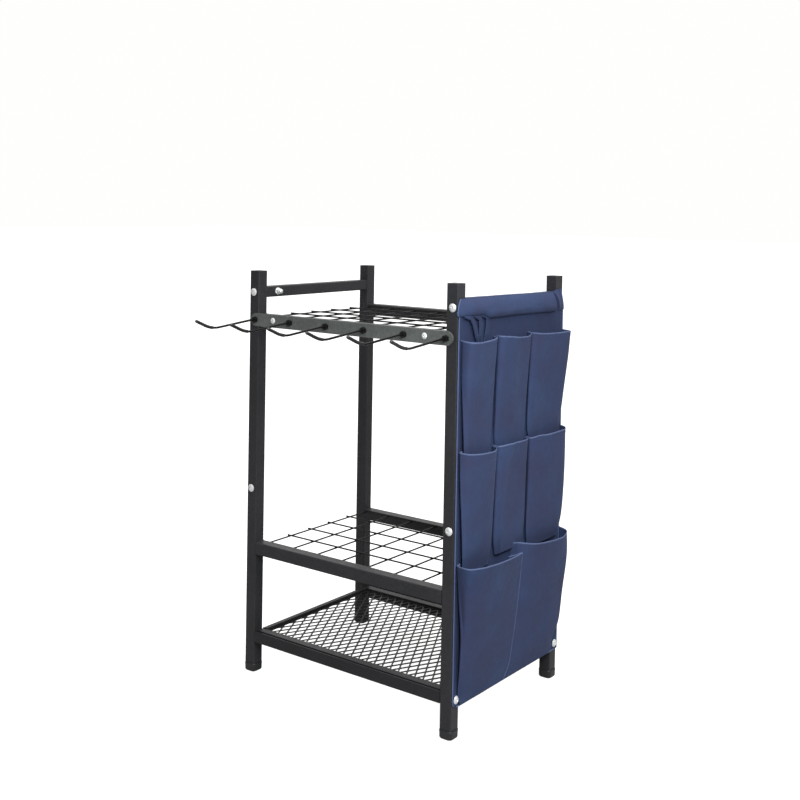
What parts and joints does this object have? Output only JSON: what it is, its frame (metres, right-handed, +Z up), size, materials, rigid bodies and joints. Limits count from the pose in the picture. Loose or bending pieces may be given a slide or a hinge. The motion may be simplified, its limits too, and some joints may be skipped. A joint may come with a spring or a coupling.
{
  "type": "garden tool rack",
  "caption": "Free-standing steel rack with grid shelves for long handles, a mesh tray at the bottom, a bar of hooks across the front and a fabric pocket bag on one side.",
  "frame": {"origin": "bottom centre of the whole rack's bounding box, at floor level", "axes": "+Z up; +X along the width towards the fabric bag; -Y towards the hook bar at the front"},
  "size_m": [0.6448, 0.6316, 0.94],
  "materials": {
    "black_coat": "satin black powder coat",
    "bar_coat": "smooth satin black coat",
    "black_plastic": "matte",
    "black_vinyl": "soft satin",
    "bright_steel": "zinc plated",
    "raw_steel": "plain",
    "navy_fabric": "coated woven polyester"
  },
  "bodies": {
    "root": {"bag_back_panel": "navy_fabric", "bag_bolts": "bright_steel", "bag_pocket_1": "navy_fabric", "bag_pocket_2": "navy_fabric", "bag_pocket_3": "navy_fabric", "bag_pocket_4": "navy_fabric", "bag_pocket_5": "navy_fabric", "bag_pocket_6": "navy_fabric", "bag_pocket_7": "navy_fabric", "bag_pocket_8": "navy_fabric", "bag_sleeve": "navy_fabric", "bottom_rail_back": "black_coat", "bottom_rail_front": "black_coat", "foot_cap_bl": "black_plastic", "foot_cap_br": "black_plastic", "foot_cap_fl": "black_plastic", "foot_cap_fr": "black_plastic", "hook_1": "black_coat", "hook_2": "black_coat", "hook_3": "black_coat", "hook_4": "black_coat", "hook_5": "black_coat", "hook_6": "black_coat", "hook_bar": "bar_coat", "hook_bar_bolts": "bright_steel", "hook_collars": "black_coat", "hook_tip_caps": "black_vinyl", "left_rail_acorn_nut": "bright_steel", "left_rail_bolt": "bright_steel", "left_rail_washer": "bright_steel", "middle_grid_cross_wires": "black_coat", "middle_grid_long_wires": "black_coat", "middle_rail_back": "black_coat", "middle_rail_front": "black_coat", "post_bl_lower": "black_coat", "post_bl_upper": "black_coat", "post_br_lower": "black_coat", "post_br_upper": "black_coat", "post_fl_lower": "black_coat", "post_fl_upper": "black_coat", "post_fr_lower": "black_coat", "post_fr_upper": "black_coat", "post_top_plugs": "black_coat", "side_rail_bolts": "bright_steel", "splice_bolts": "bright_steel", "splice_sleeves": "raw_steel", "top_grid_cross_wires": "black_coat", "top_grid_long_wires": "black_coat", "top_rail_back": "black_coat", "top_rail_front": "black_coat", "top_side_rail_left": "black_coat", "top_side_rail_right": "black_coat", "tray_back": "black_coat", "tray_front": "black_coat", "tray_left": "black_coat", "tray_mesh": "black_coat", "tray_right": "black_coat"}
  },
  "joints": []
}
